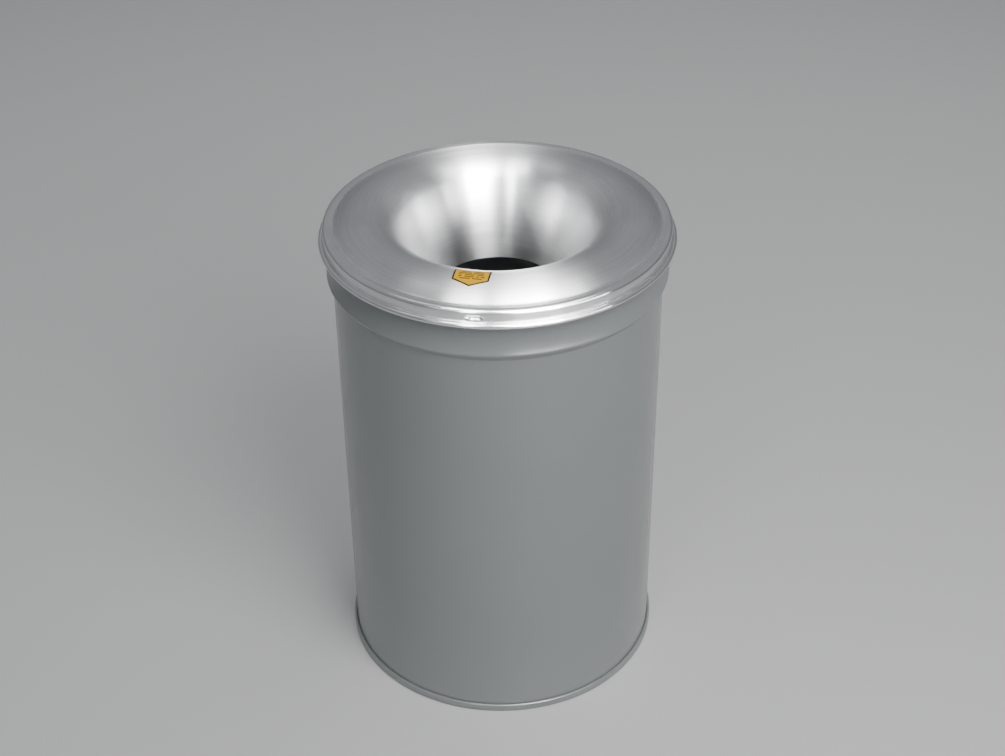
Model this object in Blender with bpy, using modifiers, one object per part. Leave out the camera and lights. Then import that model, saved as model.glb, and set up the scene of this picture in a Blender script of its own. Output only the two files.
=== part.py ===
"""Round sheet-steel waste drum with a lift-off spun aluminium funnel head.

Units are metres and +Z is up. The origin is on the floor, on the drum's axis, and the front faces -Y.
"""

import math

import bmesh
import bpy

# Drum
DRUM_HEIGHT = 0.7124  # floor to the top of the rolled rim
BODY_RADIUS = 0.2325  # outside of the plain wall
SIDE_SHEET = 0.0010
BOTTOM_SHEET = 0.0012
RIM_WIRE_RADIUS = 0.0031
RIM_CURL = 290  # degrees that the sheet rolls round the wire
COLLAR_FLARE = 0.0087  # how far the collar's lip stands out from the wall
COLLAR_TOP_DROP = 0.0250  # rim down to where the collar starts to flare
COLLAR_LIP_DROP = 0.0690  # rim down to the collar's lip
COLLAR_UNDERCUT = 0.0110  # height of the slope under the lip
COLLAR_TOP_FILLET = 0.0300
COLLAR_LIP_FILLET = 0.0040
COLLAR_FOOT_FILLET = 0.0020
SEAM_HEIGHT = 0.0120  # folded bottom chime
SEAM_HOOK_SHARE = 0.45  # how far up the chime the bottom's hook ends
SEAM_FILLET = 0.0018
BOTTOM_RECESS = 0.0190  # floor to the bottom panel
BOTTOM_FILLET = 0.0040
BOTTOM_BEAD_RADIUS = 0.1500  # stiffening step pressed in the bottom panel
BOTTOM_BEAD_RISE = 0.0030
BOTTOM_BEAD_FILLET = 0.0030
WELD_WIDTH = 0.0050
WELD_THICKNESS = 0.0005
WELD_EDGE = 0.00015  # bevel along the weld's edges
WELD_END_MARGIN = 0.0060  # from the chime, and from the collar

# Head
HEAD_SHEET = 0.0015
HEAD_SIDE_CLEARANCE = 0.0005  # rolled rim to the inside of the skirt
LEDGE_WIDTH = 0.0156  # flat ring that rests on the rolled rim
CREST_INSET = 0.0451  # ledge in to the ring along the top of the crown
CREST_RISE = 0.0150  # ledge up to the crown's crest
CREST_ROUNDING = 0.0505  # crown's radius on the funnel side
THROAT_RADIUS = 0.0850
FUNNEL_DEPTH = 0.1260  # crest down to the throat's edge
SKIRT_DEPTH = 0.0205  # ledge down to the middle of the rolled hem
SKIRT_FILLET = 0.0045
HEM_ROLL_RADIUS = 0.0031
HEM_CURL = 310  # degrees that the hem rolls outwards
CATCH_COUNT = 3
CATCH_AZIMUTH = -7.5  # degrees from the front, towards +X
CATCH_WIDTH = 0.0200
CATCH_HEIGHT = 0.0016
CATCH_CUT_DEPTH = 0.0120  # through the skirt, with room on both sides

# Label
LABEL_WIDTH = 0.0490
LABEL_SIDE = 0.0254  # straight edge
LABEL_LENGTH = 0.0367  # straight end to point
LABEL_START_INSET = 0.0146  # crest in to the label's straight end
LABEL_AZIMUTH = -10.8
LABEL_THICKNESS = 0.0005
LABEL_CUT_REACH = 0.0500  # of its cutter, above and below the ledge

# Fits and facets
FIT_GAP = 0.0003  # between touching pieces
SEAM_GAP = 0.0004  # between the layers folded into the chime
TURN_STEPS = 48
WIRE_STEPS = 8
ARC_TOLERANCE = 0.0003  # furthest that a facet strays from its arc

# Worked out from the sizes above
WALL = BODY_RADIUS - SIDE_SHEET / 2
RIM_ROLL_RADIUS = RIM_WIRE_RADIUS + 2 * FIT_GAP + SIDE_SHEET / 2
RIM_CENTRE = (WALL + RIM_ROLL_RADIUS, DRUM_HEIGHT - RIM_ROLL_RADIUS - SIDE_SHEET / 2)
RIM_OUTSIDE = RIM_CENTRE[0] + RIM_ROLL_RADIUS + SIDE_SHEET / 2
LAYER_PITCH = (SIDE_SHEET + BOTTOM_SHEET) / 2 + SEAM_GAP
CHUCK_WALL = WALL - LAYER_PITCH
COLLAR = WALL + COLLAR_FLARE
BOTTOM_HOOK = WALL + LAYER_PITCH
SIDE_HOOK = WALL + 2 * LAYER_PITCH
SEAM_WALL = WALL + 3 * LAYER_PITCH
SIDE_FOLD_HEIGHT = BOTTOM_SHEET + SEAM_GAP + SIDE_SHEET / 2
HOOK_END_HEIGHT = SEAM_HOOK_SHARE * SEAM_HEIGHT
LEDGE_HEIGHT = DRUM_HEIGHT + FIT_GAP + HEAD_SHEET / 2
SKIRT = RIM_OUTSIDE + HEAD_SIDE_CLEARANCE + HEAD_SHEET / 2
CREASE = SKIRT - LEDGE_WIDTH
CREST_RADIUS = CREASE - CREST_INSET
CREST_HEIGHT = LEDGE_HEIGHT + CREST_RISE
CREST_FALL = (CREST_INSET**2 + CREST_RISE**2) / (2 * CREST_RISE)
THROAT_HEIGHT = CREST_HEIGHT - FUNNEL_DEPTH
LABEL_START = CREST_RADIUS - LABEL_START_INSET


def facets(radius, turn):
    """How many facets an arc of this many degrees needs to stay within the tolerance."""
    widest = 2 * math.degrees(math.acos(max(0, 1 - ARC_TOLERANCE / radius)))
    return max(2, math.ceil(abs(turn) / widest))


def arc(centre, radius, start, end, count=None):
    """Points of an arc from start to end, in degrees, as (radius, height)."""
    count = count or facets(radius, end - start)
    angles = [math.radians(start + (end - start) * i / count) for i in range(count + 1)]
    return [(centre[0] + radius * math.cos(a), centre[1] + radius * math.sin(a)) for a in angles]


def rounded(corners):
    """Polyline through (radius, height, fillet) corners, with each fillet drawn as an arc."""
    points = []
    for i, (x, z, fillet) in enumerate(corners):
        if fillet == 0:
            points.append((x, z))
            continue
        before = math.atan2(corners[i - 1][1] - z, corners[i - 1][0] - x)
        after = math.atan2(corners[i + 1][1] - z, corners[i + 1][0] - x)
        opening = (after - before + math.pi) % (2 * math.pi) - math.pi
        reach = fillet / math.sin(abs(opening) / 2)
        middle = before + opening / 2
        centre = (x + reach * math.cos(middle), z + reach * math.sin(middle))
        turn = math.degrees(math.pi - abs(opening)) / 2
        facing = math.degrees(middle) + 180
        swing = turn if opening < 0 else -turn
        points += arc(centre, fillet, facing - swing, facing + swing)
    return points


def crown_arcs(lift):
    """Crown from the funnel side over the crest to the crease, moved out from the sheet's middle by lift."""
    run = CREST_RADIUS - THROAT_RADIUS
    rise = CREST_HEIGHT - CREST_ROUNDING - THROAT_HEIGHT
    tangent = math.asin(CREST_ROUNDING / math.hypot(run, rise))
    cone = math.degrees(math.atan2(rise, run) + tangent)
    slope = math.degrees(math.asin(CREST_INSET / CREST_FALL))
    funnel_side = arc(
        (CREST_RADIUS, CREST_HEIGHT - CREST_ROUNDING),
        CREST_ROUNDING + lift,
        90 + cone,
        90,
        facets(CREST_ROUNDING, cone),
    )
    rim_side = arc(
        (CREST_RADIUS, CREST_HEIGHT - CREST_FALL),
        CREST_FALL + lift,
        90,
        90 - slope,
        facets(CREST_FALL, slope),
    )
    return funnel_side + rim_side[1:]


def make_collection(name):
    collection = bpy.data.collections.new(name)
    bpy.context.scene.collection.children.link(collection)
    return collection


def make_material(name, colour, roughness, metallic):
    material = bpy.data.materials.new(name)
    material.use_nodes = True
    shader = material.node_tree.nodes["Principled BSDF"]
    shader.inputs["Base Color"].default_value = (*colour, 1)
    shader.inputs["Roughness"].default_value = roughness
    shader.inputs["Metallic"].default_value = metallic
    return material


def add_object(name, mesh, collection, material=None):
    item = bpy.data.objects.new(name, mesh)
    collection.objects.link(item)
    if material:
        mesh.materials.append(material)
    return item


def turned(name, profile, collection, material, sheet=None):
    """Turns a (radius, height) profile about Z. An open profile gets the sheet's thickness."""
    shape = bmesh.new()
    verts = [shape.verts.new((x, 0, z)) for x, z in profile]
    for a, b in zip(verts, verts[1:]):
        shape.edges.new((a, b))
    if sheet is None:
        shape.edges.new((verts[-1], verts[0]))
    mesh = bpy.data.meshes.new(name)
    shape.to_mesh(mesh)
    shape.free()
    item = add_object(name, mesh, collection, material)
    screw = item.modifiers.new("Turn", "SCREW")
    screw.steps = screw.render_steps = TURN_STEPS
    screw.use_merge_vertices = True
    screw.merge_threshold = 0.00001
    screw.use_smooth_shade = True
    if sheet is not None:
        wall = item.modifiers.new("Sheet", "SOLIDIFY")
        wall.thickness = sheet
        wall.offset = 0
        wall.use_even_offset = True
    return item


def make_drum_side(collection, steel):
    """Rolled side: wired rim, flared collar, plain wall, and the hook folded into the chime."""
    lip = DRUM_HEIGHT - COLLAR_LIP_DROP
    fold = (SIDE_HOOK - WALL) / 2
    hook_top = SEAM_HEIGHT - BOTTOM_SHEET - SEAM_GAP - SIDE_SHEET
    rim = arc(RIM_CENTRE, RIM_ROLL_RADIUS, 180 - RIM_CURL, 180)
    wall = rounded(
        [
            (*rim[-1], 0),
            (WALL, DRUM_HEIGHT - COLLAR_TOP_DROP, COLLAR_TOP_FILLET),
            (COLLAR, lip, COLLAR_LIP_FILLET),
            (WALL, lip - COLLAR_UNDERCUT, COLLAR_FOOT_FILLET),
            (WALL, SIDE_FOLD_HEIGHT + fold, 0),
        ]
    )
    hook = arc((WALL + fold, SIDE_FOLD_HEIGHT + fold), fold, 180, 360)
    profile = rim[:-1] + wall + hook[1:] + [(SIDE_HOOK, hook_top)]
    return turned("drum_side", profile, collection, steel, SIDE_SHEET)


def make_rim_wire(collection, wire_steel):
    """Stiffening wire inside the rolled rim."""
    bpy.ops.mesh.primitive_torus_add(
        major_radius=RIM_CENTRE[0],
        minor_radius=RIM_WIRE_RADIUS,
        major_segments=TURN_STEPS,
        minor_segments=WIRE_STEPS,
        location=(0, 0, RIM_CENTRE[1]),
    )
    wire = bpy.context.object
    wire.name = "rim_wire"
    for home in wire.users_collection:
        home.objects.unlink(wire)
    collection.objects.link(wire)
    wire.data.materials.append(wire_steel)
    wire.data.shade_smooth()
    return wire


def make_side_weld(collection, steel):
    """Weld strip that closes the rolled side, at the back."""
    bottom = SEAM_HEIGHT + WELD_END_MARGIN
    top = DRUM_HEIGHT - COLLAR_LIP_DROP - COLLAR_UNDERCUT - WELD_END_MARGIN
    shape = bmesh.new()
    bmesh.ops.create_cube(shape, size=1)
    bmesh.ops.scale(shape, vec=(WELD_WIDTH, WELD_THICKNESS, top - bottom), verts=shape.verts)
    mesh = bpy.data.meshes.new("side_weld_seam")
    shape.to_mesh(mesh)
    shape.free()
    weld = add_object("side_weld_seam", mesh, collection, steel)
    weld.location = (0, BODY_RADIUS + FIT_GAP + WELD_THICKNESS / 2, (top + bottom) / 2)
    soften = weld.modifiers.new("Soften", "BEVEL")
    soften.width = WELD_EDGE
    soften.segments = 1
    return weld


def make_drum_bottom(collection, steel):
    """Recessed pressed bottom, its edge folded up and over the side's hook."""
    half = BOTTOM_SHEET / 2
    panel = BOTTOM_RECESS - half
    step = BOTTOM_BEAD_RADIUS
    fold = (SEAM_WALL - BOTTOM_HOOK) / 2
    pan = rounded(
        [
            (0, panel + BOTTOM_BEAD_RISE, 0),
            (step, panel + BOTTOM_BEAD_RISE, BOTTOM_BEAD_FILLET),
            (step + 2 * BOTTOM_BEAD_RISE, panel, BOTTOM_BEAD_FILLET),
            (CHUCK_WALL, panel, BOTTOM_FILLET),
            (CHUCK_WALL, half, SEAM_FILLET),
            (SEAM_WALL, half, SEAM_FILLET),
            (SEAM_WALL, SEAM_HEIGHT - half - fold, 0),
        ]
    )
    hook = arc((SEAM_WALL - fold, SEAM_HEIGHT - half - fold), fold, 0, 180)
    profile = pan + hook[1:] + [(BOTTOM_HOOK, HOOK_END_HEIGHT)]
    return turned("drum_bottom", profile, collection, steel, BOTTOM_SHEET)


def make_seam_compound(collection, rubber):
    """Ring of sealing compound squeezed into the fold of the chime."""
    inside = BODY_RADIUS + FIT_GAP
    outside = SIDE_HOOK - SIDE_SHEET / 2 - FIT_GAP
    bottom = SIDE_FOLD_HEIGHT + SIDE_SHEET / 2 + 2 * FIT_GAP
    top = HOOK_END_HEIGHT - FIT_GAP
    corner = (outside - inside) / 3
    profile = [
        (inside + corner, top),
        (outside - corner, top),
        (outside, bottom + corner),
        (outside - corner, bottom),
        (inside + corner, bottom),
        (inside, bottom + corner),
    ]
    return turned("seam_compound", profile, collection, rubber)


def make_catch_cutters(cutters):
    """One slot cutter for each catch, spaced evenly round the skirt and up from the foot of the curl."""
    height = RIM_CENTRE[1] - RIM_ROLL_RADIUS - SIDE_SHEET / 2 + CATCH_HEIGHT / 2
    slots = []
    for i in range(CATCH_COUNT):
        shape = bmesh.new()
        bmesh.ops.create_cube(shape, size=1)
        size = (CATCH_WIDTH, CATCH_CUT_DEPTH, CATCH_HEIGHT)
        bmesh.ops.scale(shape, vec=size, verts=shape.verts)
        mesh = bpy.data.meshes.new(f"catch_slot_{i + 1}")
        shape.to_mesh(mesh)
        shape.free()
        slot = add_object(f"catch_slot_{i + 1}", mesh, cutters)
        turn = math.radians(CATCH_AZIMUTH + 360 * i / CATCH_COUNT)
        slot.location = (SKIRT * math.sin(turn), -SKIRT * math.cos(turn), height)
        slot.rotation_euler.z = turn
        slots.append(slot)
    return slots


def cut_with(item, cutter, operation):
    """Adds a live Boolean and hides its cutter."""
    cut = item.modifiers.new(cutter.name, "BOOLEAN")
    cut.operation = operation
    cut.object = cutter
    cutter.hide_render = True
    cutter.display_type = "WIRE"


def make_head_shell(collection, cutters, aluminium):
    """Spun head: throat, funnel, crown, ledge over the rim, skirt and rolled hem."""
    hem_centre = (SKIRT + HEM_ROLL_RADIUS, LEDGE_HEIGHT - SKIRT_DEPTH)
    skirt = rounded(
        [
            (CREASE, LEDGE_HEIGHT, 0),
            (SKIRT, LEDGE_HEIGHT, SKIRT_FILLET),
            (SKIRT, hem_centre[1], 0),
        ]
    )
    hem = arc(hem_centre, HEM_ROLL_RADIUS, 180, 180 + HEM_CURL)
    profile = [(THROAT_RADIUS, THROAT_HEIGHT)] + crown_arcs(0)[:-1] + skirt + hem[1:]
    shell = turned("head_shell", profile, collection, aluminium, HEAD_SHEET)
    for slot in make_catch_cutters(cutters):
        cut_with(shell, slot, "DIFFERENCE")
    return shell


def make_label(collection, cutters, vinyl):
    """Five-sided label stuck on the crown, cut from a band that follows the crown."""
    lift = (HEAD_SHEET + LABEL_THICKNESS) / 2 + FIT_GAP
    label = turned("yellow_label", crown_arcs(lift)[1:], collection, vinyl, LABEL_THICKNESS)
    half = LABEL_WIDTH / 2
    outline = [
        (-half, -LABEL_START),
        (-half, -LABEL_START - LABEL_SIDE),
        (0, -LABEL_START - LABEL_LENGTH),
        (half, -LABEL_START - LABEL_SIDE),
        (half, -LABEL_START),
    ]
    shape = bmesh.new()
    low = LEDGE_HEIGHT - LABEL_CUT_REACH
    base = shape.faces.new([shape.verts.new((x, y, low)) for x, y in outline])
    grown = bmesh.ops.extrude_face_region(shape, geom=[base])["geom"]
    raised = [item for item in grown if isinstance(item, bmesh.types.BMVert)]
    bmesh.ops.translate(shape, vec=(0, 0, 2 * LABEL_CUT_REACH), verts=raised)
    bmesh.ops.recalc_face_normals(shape, faces=shape.faces)
    mesh = bpy.data.meshes.new("label_outline")
    shape.to_mesh(mesh)
    shape.free()
    outline_cutter = add_object("label_outline", mesh, cutters)
    outline_cutter.rotation_euler.z = math.radians(LABEL_AZIMUTH)
    cut_with(label, outline_cutter, "INTERSECT")
    return label


def build():
    for item in list(bpy.data.objects):
        bpy.data.objects.remove(item, do_unlink=True)
    drum_can = make_collection("waste_drum")
    cutters = make_collection("cutters")
    grey_paint = make_material("grey_painted_steel", (0.30, 0.32, 0.32), 0.38, 0.0)
    bare_steel = make_material("bare_steel", (0.45, 0.45, 0.46), 0.35, 1.0)
    aluminium = make_material("spun_aluminium", (0.80, 0.80, 0.81), 0.28, 1.0)
    rubber = make_material("sealing_compound", (0.05, 0.05, 0.05), 0.70, 0.0)
    vinyl = make_material("yellow_vinyl", (0.90, 0.55, 0.03), 0.40, 0.0)

    drum = bpy.data.objects.new("drum", None)
    head = bpy.data.objects.new("head", None)
    for empty in (drum, head):
        drum_can.objects.link(empty)
    for piece in (
        make_drum_side(drum_can, grey_paint),
        make_rim_wire(drum_can, bare_steel),
        make_side_weld(drum_can, grey_paint),
        make_drum_bottom(drum_can, grey_paint),
        make_seam_compound(drum_can, rubber),
    ):
        piece.parent = drum
    for piece in (
        make_head_shell(drum_can, cutters, aluminium),
        make_label(drum_can, cutters, vinyl),
    ):
        piece.parent = head


build()
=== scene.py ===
"""Looks of a round sheet-steel waste drum with a spun aluminium funnel head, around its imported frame."""

import math

import bmesh
import bpy
from mathutils import Matrix, Vector


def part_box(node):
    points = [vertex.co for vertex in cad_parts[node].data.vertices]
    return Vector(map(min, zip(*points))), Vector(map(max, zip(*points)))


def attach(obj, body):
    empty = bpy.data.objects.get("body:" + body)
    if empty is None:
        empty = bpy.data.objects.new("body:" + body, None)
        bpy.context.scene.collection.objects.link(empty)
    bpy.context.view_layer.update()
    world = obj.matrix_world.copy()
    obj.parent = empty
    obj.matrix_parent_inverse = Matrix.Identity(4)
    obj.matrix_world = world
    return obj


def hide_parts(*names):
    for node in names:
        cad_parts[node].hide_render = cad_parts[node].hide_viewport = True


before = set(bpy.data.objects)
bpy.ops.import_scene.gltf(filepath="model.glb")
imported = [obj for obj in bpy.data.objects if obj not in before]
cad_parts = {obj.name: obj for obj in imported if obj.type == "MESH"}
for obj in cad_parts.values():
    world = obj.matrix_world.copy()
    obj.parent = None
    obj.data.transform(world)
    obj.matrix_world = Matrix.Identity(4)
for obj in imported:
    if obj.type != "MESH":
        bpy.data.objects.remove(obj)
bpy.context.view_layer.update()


# Camera: a short telephoto held at eye height about two metres in front of the drum, pointed down into the
# funnel and level to within a degree.
CAMERA_DISTANCE = 2.080
CAMERA_HEIGHT = 1.8686
CAMERA_DIP = math.radians(34.37)
CAMERA_PAN = math.radians(0.13)
CAMERA_ROLL = math.radians(-0.64)
LENS = 61.28
SENSOR_WIDTH = 36

dipped = Vector((0, math.cos(CAMERA_DIP), -math.sin(CAMERA_DIP)))
look = Matrix.Rotation(-CAMERA_PAN, 3, "Z") @ dipped
level = look.cross((0, 0, 1)).normalized()
across = Matrix.Rotation(-CAMERA_ROLL, 3, look) @ level
camera = bpy.data.objects.new("camera", bpy.data.cameras.new("camera"))
camera.data.sensor_width = SENSOR_WIDTH
camera.data.lens = LENS
axes = Matrix((across, across.cross(look), -look)).transposed()
standpoint = Matrix.Translation((0, -CAMERA_DISTANCE, CAMERA_HEIGHT))
camera.matrix_world = standpoint @ axes.to_4x4()
bpy.context.scene.collection.objects.link(camera)
bpy.context.scene.camera = camera


# Studio: a plain pale floor under a soft grey sky, with eleven soft boxes. The key light stands on the
# front right and a slim box on the front left. Seven sheen boxes show only as bands in the metal and the
# paint, and two fill boxes behind the drum only lift its back.
LIGHT_TARGET = Vector((0, 0, 0.65))
FLOOR_REACH = 8
FLOOR_TONE = (0.54, 0.54, 0.54, 1)
SKY_TINT = (0.93, 0.97, 1.0, 1)
SKY_AT_HORIZON, SKY_OVERHEAD = 0.16, 0.36
SKY_RISE = 0.55  # how high, as the sine of the elevation, the sky reaches its full strength
WARM_TINT = (1.0, 0.99, 0.98)
COOL_TINT = (0.97, 0.985, 1.0)


def add_object(name, shape):
    """An object at the origin made from a bmesh, which is used up."""
    mesh = bpy.data.meshes.new(name)
    shape.to_mesh(mesh)
    shape.free()
    item = bpy.data.objects.new(name, mesh)
    bpy.context.scene.collection.objects.link(item)
    return item


def soft_box(name, azimuth, elevation, distance, size, power, tint=(1, 1, 1), kind="full"):
    """A rectangular light aimed at the head. Azimuth runs from the front towards +X. A sheen box is seen
    only in the gloss of the metal and the paint, and a fill box lights them without being seen in it."""
    side, lift = math.radians(azimuth), math.radians(elevation)
    direction = Vector(
        (math.sin(side) * math.cos(lift), -math.cos(side) * math.cos(lift), math.sin(lift))
    )
    light = bpy.data.lights.new(name, "AREA")
    light.shape = "RECTANGLE"
    light.size, light.size_y = size
    light.energy = power
    light.color = tint
    lamp = bpy.data.objects.new(name, light)
    lamp.location = LIGHT_TARGET + direction * distance
    lamp.rotation_euler = direction.to_track_quat("Z", "Y").to_euler()
    lamp.visible_camera = False
    lamp.visible_diffuse = kind != "sheen"
    lamp.visible_glossy = kind != "fill"
    bpy.context.scene.collection.objects.link(lamp)


floor_shape = bmesh.new()
bmesh.ops.create_grid(floor_shape, x_segments=1, y_segments=1, size=FLOOR_REACH)
studio_floor = add_object("studio_floor", floor_shape)
pale_floor = bpy.data.materials.new("pale_floor")
pale_floor.use_nodes = True
floor_shader = pale_floor.node_tree.nodes["Principled BSDF"]
floor_shader.inputs["Base Color"].default_value = FLOOR_TONE
floor_shader.inputs["Roughness"].default_value = 0.75
studio_floor.data.materials.append(pale_floor)

sky = bpy.data.worlds.new("studio")
sky.use_nodes = True
sky_nodes = sky.node_tree.nodes
sky_light = sky_nodes["Background"]
heading = sky_nodes.new("ShaderNodeSeparateXYZ")
rise = sky_nodes.new("ShaderNodeMapRange")
for socket, number in zip(rise.inputs[1:5], (0.0, SKY_RISE, SKY_AT_HORIZON, SKY_OVERHEAD)):
    socket.default_value = number
sky_place = sky_nodes.new("ShaderNodeTexCoord").outputs["Generated"]
sky.node_tree.links.new(sky_place, heading.inputs[0])
sky.node_tree.links.new(heading.outputs["Z"], rise.inputs[0])
sky.node_tree.links.new(rise.outputs[0], sky_light.inputs["Strength"])
sky_light.inputs["Color"].default_value = SKY_TINT
bpy.context.scene.world = sky
soft_box("key_box", 30, 40, 2.0, (1.20, 1.55), 38, WARM_TINT)
soft_box("front_left_box", -18, 40, 2.0, (0.34, 1.45), 4, COOL_TINT)
soft_box("back_left_fill", -150, 38, 3.0, (2.0, 1.8), 12, kind="fill")
soft_box("back_right_fill", 140, 38, 3.0, (2.0, 1.8), 18, kind="fill")
soft_box("key_sheen", 23, 40, 2.0, (1.00, 2.50), 270, WARM_TINT, kind="sheen")
soft_box("front_left_sheen", -18, 42, 2.0, (0.26, 2.20), 24, COOL_TINT, kind="sheen")
soft_box("front_sheen", 0, 30, 3.0, (4.6, 2.8), 26, kind="sheen")
soft_box("overhead_right", 58, 63, 2.0, (1.0, 0.50), 14, kind="sheen")
soft_box("overhead_left", -38, 68, 2.0, (0.50, 0.45), 15, kind="sheen")
soft_box("overhead_back", 180, 80, 2.2, (2.4, 0.7), 6, kind="sheen")
soft_box("right_sheen", 48, 12, 2.4, (1.6, 0.60), 32, kind="sheen")


# Drum side: one sheet of cold-rolled steel rolled round and seam welded, with a bell-shaped collar and a
# curled rim rolled in after welding. Its lower edge is hooked into the chime. Stoved grey semi-gloss enamel.
DRUM_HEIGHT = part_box("drum_side")[1].z
BODY_RADIUS = 0.2325
SIDE_SHEET = 0.0010
WALL = BODY_RADIUS - SIDE_SHEET / 2
RIM_ROLL = 0.0042
RIM_CURL = 290  # degrees that the sheet rolls round the wire
RIM_X, RIM_Z = WALL + RIM_ROLL, DRUM_HEIGHT - RIM_ROLL - SIDE_SHEET / 2
COLLAR_FLARE = 0.0087
COLLAR_TOP_Z = DRUM_HEIGHT - 0.0250
COLLAR_LIP_Z = DRUM_HEIGHT - 0.0690
COLLAR_FOOT_Z = COLLAR_LIP_Z - 0.0110
COLLAR_LIP_ROUND = 0.0034
COLLAR_FOOT_ROUND = 0.0020
SEAM_HEIGHT = 0.0120
LAYER = 0.0015  # from the middle of one folded layer to the next
SIDE_HOOK_Z = 0.0021
SIDE_HOOK_SHORT = 0.0026  # how far below the chime's top the hook ends
WALL_ROWS = (0.42, 0.18)  # heights of the rows that keep the wall's faces from getting too long
SIDE_COLUMNS = 360
MERGE = 1e-6
ROUND = 2 * math.pi
GREY_LOW, GREY_HIGH = (0.214, 0.230, 0.231, 1), (0.234, 0.251, 0.252, 1)
DUST_TONE = (0.38, 0.37, 0.35, 1)
SCUFF_TONE = (0.36, 0.37, 0.37, 1)
DUST_HEIGHT = 0.14


def run(shape, points, last=None):
    """Draws straight runs through (radius, height) points, on from the last vertex. Returns the new end."""
    for x, z in points:
        vert = shape.verts.new((x, 0, z))
        if last:
            shape.edges.new((last, vert))
        last = vert
    return last


def curl(shape, last, x, z, degrees, steps):
    """Draws an arc on from the last vertex about (x, z). Positive degrees turn anticlockwise."""
    drawn = bmesh.ops.spin(
        shape,
        geom=[last],
        cent=(x, 0, z),
        axis=(0, -1, 0),
        angle=math.radians(degrees),
        steps=steps,
    )
    return drawn["geom_last"][0]


def fillet(shape, x, z, radius, steps):
    """Rounds the drawn corner at (x, z) with an arc of this radius."""
    corner = min(shape.verts, key=lambda vert: (vert.co - Vector((x, 0, z))).length)
    a, b = [(edge.other_vert(corner).co - corner.co).normalized() for edge in corner.link_edges]
    bmesh.ops.bevel(
        shape,
        geom=[corner],
        offset=radius / math.tan(a.angle(b) / 2),
        segments=steps,
        profile=0.5,
        affect="VERTICES",
        material=-1,
    )


def turn_round(shape, columns):
    """Spins the drawn line once round the drum's axis and closes the seam and the pole."""
    bmesh.ops.spin(
        shape,
        geom=shape.verts[:] + shape.edges[:],
        cent=(0, 0, 0),
        axis=(0, 0, 1),
        angle=ROUND,
        steps=columns,
        use_merge=True,
    )
    bmesh.ops.remove_doubles(shape, verts=shape.verts, dist=MERGE)
    bmesh.ops.recalc_face_normals(shape, faces=shape.faces)


def fit_out(piece, body, nodes, materials, sheet=None):
    """Gives a piece its finish and its sheet thickness, and lets it stand for its CAD nodes."""
    for material in materials:
        piece.data.materials.append(material)
    piece.data.shade_smooth()
    if sheet:
        wall = piece.modifiers.new("sheet", "SOLIDIFY")
        wall.thickness = sheet
        wall.offset = 0
        wall.use_even_offset = True
    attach(piece, body)
    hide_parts(*nodes)


class Finish:
    """A material whose nodes are wired with short calls."""

    def __init__(self, name, **constants):
        self.material = bpy.data.materials.new(name)
        self.material.use_nodes = True
        self.tree = self.material.node_tree
        self.shader = self.tree.nodes["Principled BSDF"]
        for socket, value in constants.items():
            self.shader.inputs[socket.replace("_", " ")].default_value = value
        self.place = self.tree.nodes.new("ShaderNodeTexCoord").outputs["Object"]

    def feed(self, socket, value):
        if isinstance(value, bpy.types.NodeSocket):
            self.tree.links.new(value, socket)
        else:
            socket.default_value = value

    def show(self, socket, value):
        self.feed(self.shader.inputs[socket], value)

    def sum(self, operation, *values):
        node = self.tree.nodes.new("ShaderNodeMath")
        node.operation = operation
        for socket, value in zip(node.inputs, values):
            self.feed(socket, value)
        return node.outputs[0]

    def ramp(self, value, low, high, to_low, to_high):
        node = self.tree.nodes.new("ShaderNodeMapRange")
        for socket, number in zip(node.inputs, (value, low, high, to_low, to_high)):
            self.feed(socket, number)
        return node.outputs[0]

    def mix(self, factor, a, b):
        node = self.tree.nodes.new("ShaderNodeMix")
        node.data_type = "RGBA"
        for index, value in ((0, factor), (6, a), (7, b)):
            self.feed(node.inputs[index], value)
        return node.outputs[2]

    def noise(self, vector, scale, detail=3.0, roughness=0.5):
        node = self.tree.nodes.new("ShaderNodeTexNoise")
        for name, value in (
            ("Vector", vector),
            ("Scale", scale),
            ("Detail", detail),
            ("Roughness", roughness),
        ):
            self.feed(node.inputs[name], value)
        return node.outputs[0]

    def split(self, vector):
        node = self.tree.nodes.new("ShaderNodeSeparateXYZ")
        self.feed(node.inputs[0], vector)
        return node.outputs

    def join(self, x, y, z):
        node = self.tree.nodes.new("ShaderNodeCombineXYZ")
        for socket, value in zip(node.inputs, (x, y, z)):
            self.feed(socket, value)
        return node.outputs[0]

    def bump(self, height, distance, strength, under=None):
        node = self.tree.nodes.new("ShaderNodeBump")
        self.feed(node.inputs["Height"], height)
        node.inputs["Distance"].default_value = distance
        node.inputs["Strength"].default_value = strength
        if under:
            self.feed(node.inputs["Normal"], under)
        return node.outputs[0]


enamel = Finish("grey_enamel", Specular_IOR_Level=0.5)
height = enamel.split(enamel.place)[2]
tone = enamel.mix(enamel.noise(enamel.place, 6.0, 4.0), GREY_LOW, GREY_HIGH)
dust = enamel.sum(
    "MULTIPLY",
    enamel.ramp(height, 0.0, DUST_HEIGHT, 0.12, 0.0),
    enamel.noise(enamel.place, 9.0),
)
tone = enamel.mix(dust, tone, DUST_TONE)
scuff = enamel.ramp(enamel.noise(enamel.place, 70.0, 9.0, 0.75), 0.70, 0.78, 0.0, 0.10)
enamel.show("Base Color", enamel.mix(scuff, tone, SCUFF_TONE))
gloss = enamel.ramp(enamel.noise(enamel.place, 14.0, 4.0), 0.3, 0.7, 0.19, 0.235)
enamel.show("Roughness", enamel.sum("ADD", gloss, enamel.sum("MULTIPLY", dust, 0.15)))
orange_peel = enamel.bump(enamel.noise(enamel.place, 500.0, 2.0), 0.00003, 0.5)
waves = enamel.bump(enamel.noise(enamel.place, 8.0, 1.0), 0.0012, 0.25, orange_peel)
enamel.show("Normal", waves)

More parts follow.
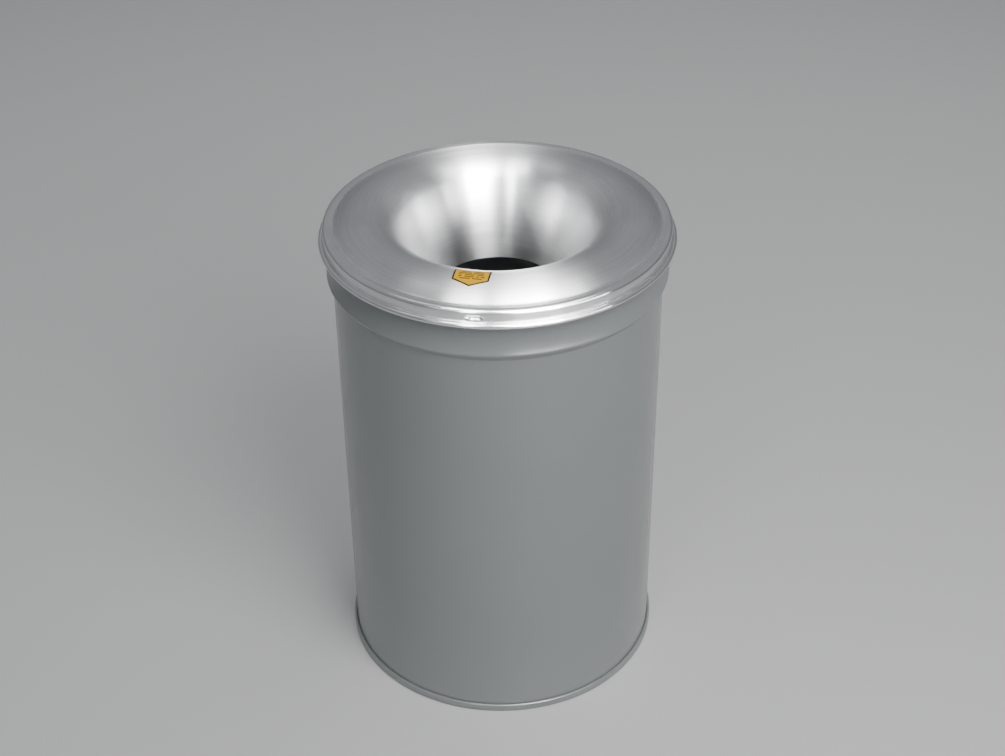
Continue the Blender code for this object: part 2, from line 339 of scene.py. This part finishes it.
collar_drop = COLLAR_TOP_Z - COLLAR_LIP_Z
bell_turn = 2 * math.atan(COLLAR_FLARE / collar_drop)
bell_radius = collar_drop / math.sin(bell_turn)
rim_start = math.radians(180 - RIM_CURL)
side = bmesh.new()
end = run(
    side, [(RIM_X + RIM_ROLL * math.cos(rim_start), RIM_Z + RIM_ROLL * math.sin(rim_start))]
)
end = curl(side, end, RIM_X, RIM_Z, RIM_CURL, 40)
end = run(side, [(WALL, COLLAR_TOP_Z)], end)
end = curl(side, end, WALL + bell_radius, COLLAR_TOP_Z, math.degrees(bell_turn), 14)
end = run(side, [(WALL, COLLAR_FOOT_Z)], end)
end = run(side, [(WALL, row) for row in WALL_ROWS], end)
end = run(side, [(WALL, SIDE_HOOK_Z + LAYER)], end)
end = curl(side, end, WALL + LAYER, SIDE_HOOK_Z + LAYER, 180, 12)
run(side, [(WALL + 2 * LAYER, SEAM_HEIGHT - SIDE_HOOK_SHORT)], end)
fillet(side, WALL + COLLAR_FLARE, COLLAR_LIP_Z, COLLAR_LIP_ROUND, 10)
fillet(side, WALL, COLLAR_FOOT_Z, COLLAR_FOOT_ROUND, 6)
turn_round(side, SIDE_COLUMNS)
fit_out(
    add_object("side_sheet", side),
    "drum",
    ["drum_side"],
    [enamel.material],
    SIDE_SHEET,
)


# Side weld: the bead that closes the rolled sheet at the back, from the chime to the foot of the collar. It
# was ground low before the drum was enamelled, so only faint ripples show under the paint.
WELD_RISE = 0.00038
WELD_RIPPLE = 0.00006
RIPPLE_PITCH = 0.0018
RIPPLE_BEND = 1.2  # curves each ripple across the bead
WELD_EDGE = 0.00005
WELD_SKIN = 0.0002

weld_low, weld_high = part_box("side_weld_seam")
weld = bmesh.new()
bmesh.ops.create_grid(weld, x_segments=10, y_segments=1200, size=0.5)
for vert in weld.verts:
    crown = math.cos(math.pi * vert.co.x) ** 0.5 if abs(vert.co.x) < 0.4999 else 0.0
    along = weld_low.z + (vert.co.y + 0.5) * (weld_high.z - weld_low.z)
    ripple = WELD_RIPPLE * math.sin(ROUND * (along / RIPPLE_PITCH + RIPPLE_BEND * vert.co.x**2))
    out = BODY_RADIUS + WELD_EDGE + crown * (WELD_RISE + ripple)
    vert.co = (-vert.co.x * (weld_high.x - weld_low.x), out, along)
weld.normal_update()
bmesh.ops.solidify(weld, geom=weld.faces[:], thickness=WELD_SKIN)
bmesh.ops.recalc_face_normals(weld, faces=weld.faces)
fit_out(
    add_object("side_weld_bead", weld),
    "drum",
    ["side_weld_seam"],
    [enamel.material],
)


# Rim wire: bare drawn steel wire that the rim is curled round, which keeps the mouth of the drum stiff. Only
# a sliver of it shows, inside the drum, where the curl ends.
WIRE_RADIUS = 0.0031
RING_COLUMNS = 240
BARE_STEEL = (0.46, 0.46, 0.47, 1)
OILY_STEEL = (0.28, 0.26, 0.24, 1)

drawn_wire = Finish("drawn_wire", Metallic=1.0)
grain = drawn_wire.noise(drawn_wire.place, 900.0, 5.0, 0.7)
oil = drawn_wire.ramp(grain, 0.45, 0.75, 0.0, 1.0)
drawn_wire.show("Base Color", drawn_wire.mix(oil, BARE_STEEL, OILY_STEEL))
drawn_wire.show("Roughness", drawn_wire.ramp(grain, 0.3, 0.7, 0.28, 0.46))
drawn_wire.show("Normal", drawn_wire.bump(grain, 0.00004, 0.5))

wire = bmesh.new()
bmesh.ops.create_circle(
    wire,
    segments=16,
    radius=WIRE_RADIUS,
    matrix=Matrix.Translation((RIM_X, 0, RIM_Z)) @ Matrix.Rotation(math.pi / 2, 4, "X"),
)
turn_round(wire, RING_COLUMNS)
fit_out(
    add_object("rim_core_wire", wire),
    "drum",
    ["rim_wire"],
    [drawn_wire.material],
)


# Drum bottom: one steel disc pressed with a recess and a stiffening step. Its edge is folded up round the
# side's hook and rolled flat, which makes the chime that the drum stands on.
BOTTOM_SHEET = 0.0012
HALF = BOTTOM_SHEET / 2
PANEL_Z = 0.0190 - HALF
STEP_RADIUS = 0.1500
STEP_RISE = 0.0030
STEP_RUN = 2 * STEP_RISE
CHUCK_WALL = WALL - LAYER
SEAM_WALL = WALL + 3 * LAYER
BOTTOM_HOOK_Z = 0.45 * SEAM_HEIGHT
STEP_ROUND = 0.0030
CHUCK_ROUND = 0.0040
SEAM_ROUND = 0.0018

pan = bmesh.new()
end = run(
    pan,
    [
        (0, PANEL_Z + STEP_RISE),
        (STEP_RADIUS / 2, PANEL_Z + STEP_RISE),
        (STEP_RADIUS, PANEL_Z + STEP_RISE),
        (STEP_RADIUS + STEP_RUN, PANEL_Z),
        (CHUCK_WALL, PANEL_Z),
        (CHUCK_WALL, HALF),
        (SEAM_WALL, HALF),
        (SEAM_WALL, SEAM_HEIGHT - HALF - LAYER),
    ],
)
end = curl(pan, end, SEAM_WALL - LAYER, SEAM_HEIGHT - HALF - LAYER, 180, 12)
run(pan, [(WALL + LAYER, BOTTOM_HOOK_Z)], end)
fillet(pan, STEP_RADIUS, PANEL_Z + STEP_RISE, STEP_ROUND, 5)
fillet(pan, STEP_RADIUS + STEP_RUN, PANEL_Z, STEP_ROUND, 5)
fillet(pan, CHUCK_WALL, PANEL_Z, CHUCK_ROUND, 8)
fillet(pan, CHUCK_WALL, HALF, SEAM_ROUND, 6)
fillet(pan, SEAM_WALL, HALF, SEAM_ROUND, 6)
turn_round(pan, SIDE_COLUMNS)
fit_out(
    add_object("bottom_pan", pan),
    "drum",
    ["drum_bottom"],
    [enamel.material],
    BOTTOM_SHEET,
)


# Seam compound: a thin ring of dark rubbery sealant squeezed into the fold of the chime when it is rolled
# shut, so that liquid can't creep out.
COMPOUND_GAP = 0.0003
COMPOUND_DARK, COMPOUND_LIGHT = (0.035, 0.035, 0.035, 1), (0.065, 0.062, 0.058, 1)

compound = Finish("seam_sealant")
lumps = compound.noise(compound.place, 700.0, 4.0, 0.6)
compound.show("Base Color", compound.mix(lumps, COMPOUND_DARK, COMPOUND_LIGHT))
compound.show("Roughness", compound.ramp(lumps, 0.3, 0.7, 0.60, 0.80))
compound.show("Normal", compound.bump(lumps, 0.0001, 0.6))

ring_low, ring_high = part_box("seam_compound")
ring_width = ring_high.x - BODY_RADIUS - COMPOUND_GAP
ring_middle = (ring_high.x - ring_width / 2, 0, (ring_low.z + ring_high.z) / 2)
sealant = bmesh.new()
bmesh.ops.create_circle(
    sealant,
    segments=12,
    radius=0.5,
    matrix=Matrix.Translation(ring_middle)
    @ Matrix.Diagonal((ring_width, 1, ring_high.z - ring_low.z, 1))
    @ Matrix.Rotation(math.pi / 2, 4, "X"),
)
turn_round(sealant, RING_COLUMNS)
fit_out(
    add_object("sealant_ring", sealant),
    "drum",
    ["seam_compound"],
    [compound.material],
)


# Head: one aluminium disc spun into a funnel, a domed crown, a ledge that sits on the drum's rim, and a
# short skirt with a rolled hem and pressed catches. Satin as it left the lathe, so fine rings draw its
# highlights out along the slope.
HEAD_SHEET = 0.0015
GAP = 0.0003
SKIRT_CLEARANCE = 0.0005
LEDGE_Z = DRUM_HEIGHT + GAP + HEAD_SHEET / 2
SKIRT = RIM_X + RIM_ROLL + SIDE_SHEET / 2 + SKIRT_CLEARANCE + HEAD_SHEET / 2
CREST = Vector((SKIRT - 0.0607, 0, LEDGE_Z + 0.0150))
CREASE = SKIRT - 0.0156
FUNNEL_ROUND = 0.0505
RIM_ROUND = ((CREASE - CREST.x) ** 2 + (CREST.z - LEDGE_Z) ** 2) / (2 * (CREST.z - LEDGE_Z))
THROAT_RADIUS = 0.0850
THROAT_Z = CREST.z - 0.1260
VALLEY = (CREASE + 0.0016, LEDGE_Z - 0.0007)
LEDGE_START = RIM_X - 0.0016
VALLEY_ROUND = 0.0022
LEDGE_ROUND = 0.0150
SHOULDER_ROUND = 0.0045
HEM_ROLL = 0.0031
HEM_Z = LEDGE_Z - 0.0205
CATCHES = (-7.5, 112.5, -127.5)  # degrees from the front towards +X
CATCH_FOOT = DRUM_HEIGHT - 2 * RIM_ROLL - SIDE_SHEET
CATCH_SLIT = 0.0021
CATCH_STRIP = 0.0045  # height of the strip that is pressed inwards under the slit
CATCH_LEAN = 0.0025
CATCH_REACH = 0.0110  # from a catch's middle to its end
CATCH_EASE = 0.0030  # stretch at each end over which it comes back to the skirt
HEAD_COLUMNS = 480
BRIGHT_METAL, DULL_METAL = (0.83, 0.83, 0.835, 1), (0.71, 0.715, 0.725, 1)

aluminium = Finish("satin_aluminium", Metallic=1.0, Anisotropic=0.97, Anisotropic_Rotation=0.25)
x, y, z = aluminium.split(aluminium.place)
x_squared, y_squared = (aluminium.sum("MULTIPLY", way, way) for way in (x, y))
radius = aluminium.sum("SQRT", aluminium.sum("ADD", x_squared, y_squared))


def turning_marks(pitch, reach):
    """Noise drawn out round the axis: marks this far apart and about this many radians long."""
    node = aluminium.tree.nodes.new("ShaderNodeTexNoise")
    node.noise_dimensions = "4D"
    along = aluminium.sum("MULTIPLY", radius, reach)
    spun = aluminium.join(
        aluminium.sum("DIVIDE", x, along),
        aluminium.sum("DIVIDE", y, along),
        aluminium.sum("DIVIDE", radius, pitch),
    )
    aluminium.feed(node.inputs["Vector"], spun)
    aluminium.feed(node.inputs["W"], aluminium.sum("DIVIDE", z, pitch))
    node.inputs["Scale"].default_value = 1.0
    node.inputs["Detail"].default_value = 2.0
    return node.outputs[0]


fine = turning_marks(0.0015, 0.20)
coarse = turning_marks(0.0045, 0.60)
hairlines = turning_marks(0.0020, 0.35)
cloud = aluminium.noise(aluminium.place, 11.0, 4.0, 0.6)
dulled = aluminium.ramp(aluminium.sum("ADD", hairlines, cloud), 0.75, 1.30, 0.0, 1.0)
aluminium.show("Base Color", aluminium.mix(dulled, BRIGHT_METAL, DULL_METAL))
satin = aluminium.sum(
    "ADD",
    aluminium.ramp(coarse, 0.3, 0.7, 0.29, 0.33),
    aluminium.ramp(cloud, 0.35, 0.65, -0.008, 0.008),
)
burnished = aluminium.ramp(radius, CREASE - 0.002, CREASE + 0.003, 1.0, 0.62)
aluminium.show("Roughness", aluminium.sum("MULTIPLY", satin, burnished))
turned = aluminium.bump(fine, 0.000008, 0.4)
aluminium.show("Normal", aluminium.bump(coarse, 0.00002, 0.3, turned))
aluminium.show("Tangent", aluminium.join(aluminium.sum("MULTIPLY", y, -1.0), x, 0.0))

cone_run, cone_rise = CREST.x - THROAT_RADIUS, CREST.z - FUNNEL_ROUND - THROAT_Z
cone = math.atan2(cone_rise, cone_run)
cone += math.asin(FUNNEL_ROUND / math.hypot(cone_run, cone_rise))
cone_end = (
    CREST.x - FUNNEL_ROUND * math.sin(cone),
    CREST.z - FUNNEL_ROUND + FUNNEL_ROUND * math.cos(cone),
)
crease_turn = math.asin((CREASE - CREST.x) / RIM_ROUND)
head = bmesh.new()
end = run(head, [(THROAT_RADIUS, THROAT_Z), cone_end])
end = curl(head, end, CREST.x, CREST.z - FUNNEL_ROUND, -math.degrees(cone), 24)
end = curl(head, end, CREST.x, CREST.z - RIM_ROUND, -math.degrees(crease_turn), 14)
end = run(head, [VALLEY, (LEDGE_START, LEDGE_Z), (SKIRT, LEDGE_Z)], end)
end = run(head, [(SKIRT, CATCH_FOOT + CATCH_SLIT), (SKIRT, CATCH_FOOT)], end)
end = run(head, [(SKIRT, CATCH_FOOT - drop) for drop in (0.0012, 0.0025, CATCH_STRIP)], end)
end = run(head, [(SKIRT, HEM_Z)], end)
curl(head, end, SKIRT + HEM_ROLL, HEM_Z, 310, 26)
fillet(head, *VALLEY, VALLEY_ROUND, 5)
fillet(head, LEDGE_START, LEDGE_Z, LEDGE_ROUND, 4)
fillet(head, SKIRT, LEDGE_Z, SHOULDER_ROUND, 10)
turn_round(head, HEAD_COLUMNS)


def catch_reach(co):
    """How fully a point lies within a catch: one at its middle, falling to nothing at both ends."""
    azimuth = math.degrees(math.atan2(co.x, -co.y))
    off = min(abs((azimuth - centre + 180) % 360 - 180) for centre in CATCHES)
    return max(0.0, min(1.0, (CATCH_REACH - math.radians(off) * SKIRT) / CATCH_EASE))


def in_slit(face):
    """Whether a face lies in the slit over a catch."""
    middle = face.calc_center_median()
    level_with = CATCH_FOOT < middle.z < CATCH_FOOT + CATCH_SLIT
    on_skirt = abs(middle.xy.length - SKIRT) < 0.0005
    return level_with and on_skirt and catch_reach(middle) > 0.6


bmesh.ops.delete(head, geom=[face for face in head.faces if in_slit(face)], context="FACES")
for vert in head.verts:
    reach = catch_reach(vert.co)
    up_strip = (vert.co.z - CATCH_FOOT + CATCH_STRIP) / CATCH_STRIP
    if reach and abs(vert.co.xy.length - SKIRT) < 1e-5 and 0 < up_strip < 1.01:
        lean = CATCH_LEAN * reach * up_strip**1.5
        vert.co.xy *= (SKIRT - lean) / SKIRT
fit_out(
    add_object("funnel_head", head),
    "head",
    ["head_shell"],
    [aluminium.material],
    HEAD_SHEET,
)


# Label: five-sided satin vinyl, yellow with a dark printed border and rows of plain bars. It is stuck over
# the front of the crown, on its own adhesive.
LABEL_WIDTH = 0.0490
LABEL_START = CREST.x - 0.0146
LABEL_SIDE = 0.0254
LABEL_LENGTH = 0.0367
LABEL_AZIMUTH = math.radians(-10.8)
LABEL_SHEET = 0.0003
LABEL_LIFT = HEAD_SHEET / 2 + GAP + LABEL_SHEET / 2
BORDER = 0.0022
PRINT_ROWS = 9.0
YELLOW_LOW, YELLOW_HIGH = (0.80, 0.42, 0.0, 1), (0.86, 0.47, 0.0, 1)
BAR_INK = (0.05, 0.03, 0.01, 1)
BORDER_LOW, BORDER_HIGH = (0.016, 0.010, 0.006, 1), (0.026, 0.018, 0.010, 1)

label = bmesh.new()
bmesh.ops.create_grid(label, x_segments=40, y_segments=40, size=0.5)
bmesh.ops.transform(
    label,
    verts=label.verts,
    matrix=Matrix.Translation((0, -LABEL_START - LABEL_LENGTH / 2, 0))
    @ Matrix.Diagonal((LABEL_WIDTH, LABEL_LENGTH, 1, 1)),
)
tip = Vector((0, -LABEL_START - LABEL_LENGTH, 0))
borders = [
    (Vector((0, -LABEL_START, 0)), Vector((0, 1, 0))),
    (Vector((LABEL_WIDTH / 2, 0, 0)), Vector((1, 0, 0))),
    (Vector((-LABEL_WIDTH / 2, 0, 0)), Vector((-1, 0, 0))),
]
for hand in (1, -1):
    corner = Vector((hand * LABEL_WIDTH / 2, -LABEL_START - LABEL_SIDE, 0))
    outward = (corner - tip).cross((0, 0, hand)).normalized()
    borders.append((tip, outward))
for inset, trimmed in ((0.0, True), (BORDER, False)):
    for place, outward in borders:
        bmesh.ops.bisect_plane(
            label,
            geom=label.verts[:] + label.edges[:] + label.faces[:],
            dist=MERGE,
            plane_co=place - outward * inset,
            plane_no=outward,
            clear_outer=trimmed,
        )
print_place = label.loops.layers.uv.new("print")
for face in label.faces:
    centre = face.calc_center_median()
    in_border = any((centre - place).dot(outward) > -BORDER for place, outward in borders)
    face.material_index = int(in_border)
    for loop in face.loops:
        loop[print_place].uv = (
            loop.vert.co.x / LABEL_WIDTH + 0.5,
            (-loop.vert.co.y - LABEL_START) / LABEL_LENGTH,
        )
for vert in label.verts:
    flat = vert.co.copy()
    off = flat.xy.length - CREST.x
    bend = FUNNEL_ROUND if off < 0 else RIM_ROUND
    lean = math.asin(off / bend)
    out = (CREST.x + (bend + LABEL_LIFT) * math.sin(lean)) / flat.xy.length
    up = CREST.z - bend + (bend + LABEL_LIFT) * math.cos(lean)
    vert.co = (flat.x * out, flat.y * out, up)
bmesh.ops.rotate(
    label, verts=label.verts, cent=(0, 0, 0), matrix=Matrix.Rotation(LABEL_AZIMUTH, 3, "Z")
)
bmesh.ops.recalc_face_normals(label, faces=label.faces)

yellow = Finish("yellow_vinyl", Specular_IOR_Level=0.15)
print_map = yellow.tree.nodes.new("ShaderNodeUVMap")
print_map.uv_map = "print"
u, v, _ = yellow.split(print_map.outputs[0])
row = yellow.sum("MULTIPLY", v, PRINT_ROWS)
in_row = yellow.sum("COMPARE", yellow.sum("FRACT", row), 0.5, 0.26)
along_row = yellow.sum("MULTIPLY", u, PRINT_ROWS)
breaks = yellow.noise(yellow.join(along_row, yellow.sum("FLOOR", row), 0.0), 1.0, 0.0)
in_lines = yellow.sum("MULTIPLY", in_row, yellow.sum("GREATER_THAN", breaks, 0.42))
in_sides = yellow.sum("COMPARE", u, 0.5, 0.36)
in_ends = yellow.sum("COMPARE", v, 0.40, 0.28)
bars = yellow.sum("MULTIPLY", in_lines, yellow.sum("MULTIPLY", in_sides, in_ends))
border_ink = Finish("border_ink", Specular_IOR_Level=0.15)
for finish, low, high in (
    (yellow, YELLOW_LOW, YELLOW_HIGH),
    (border_ink, BORDER_LOW, BORDER_HIGH),
):
    wear = finish.noise(finish.place, 260.0, 5.0, 0.6)
    tone = finish.mix(wear, low, high)
    if finish is yellow:
        tone = finish.mix(finish.sum("MULTIPLY", bars, 0.9), tone, BAR_INK)
    finish.show("Base Color", tone)
    finish.show("Roughness", finish.ramp(wear, 0.3, 0.7, 0.34, 0.46))
    finish.show("Normal", finish.bump(wear, 0.00004, 0.4))
fit_out(
    add_object("crown_label", label),
    "head",
    ["yellow_label"],
    [yellow.material, border_ink.material],
    LABEL_SHEET,
)
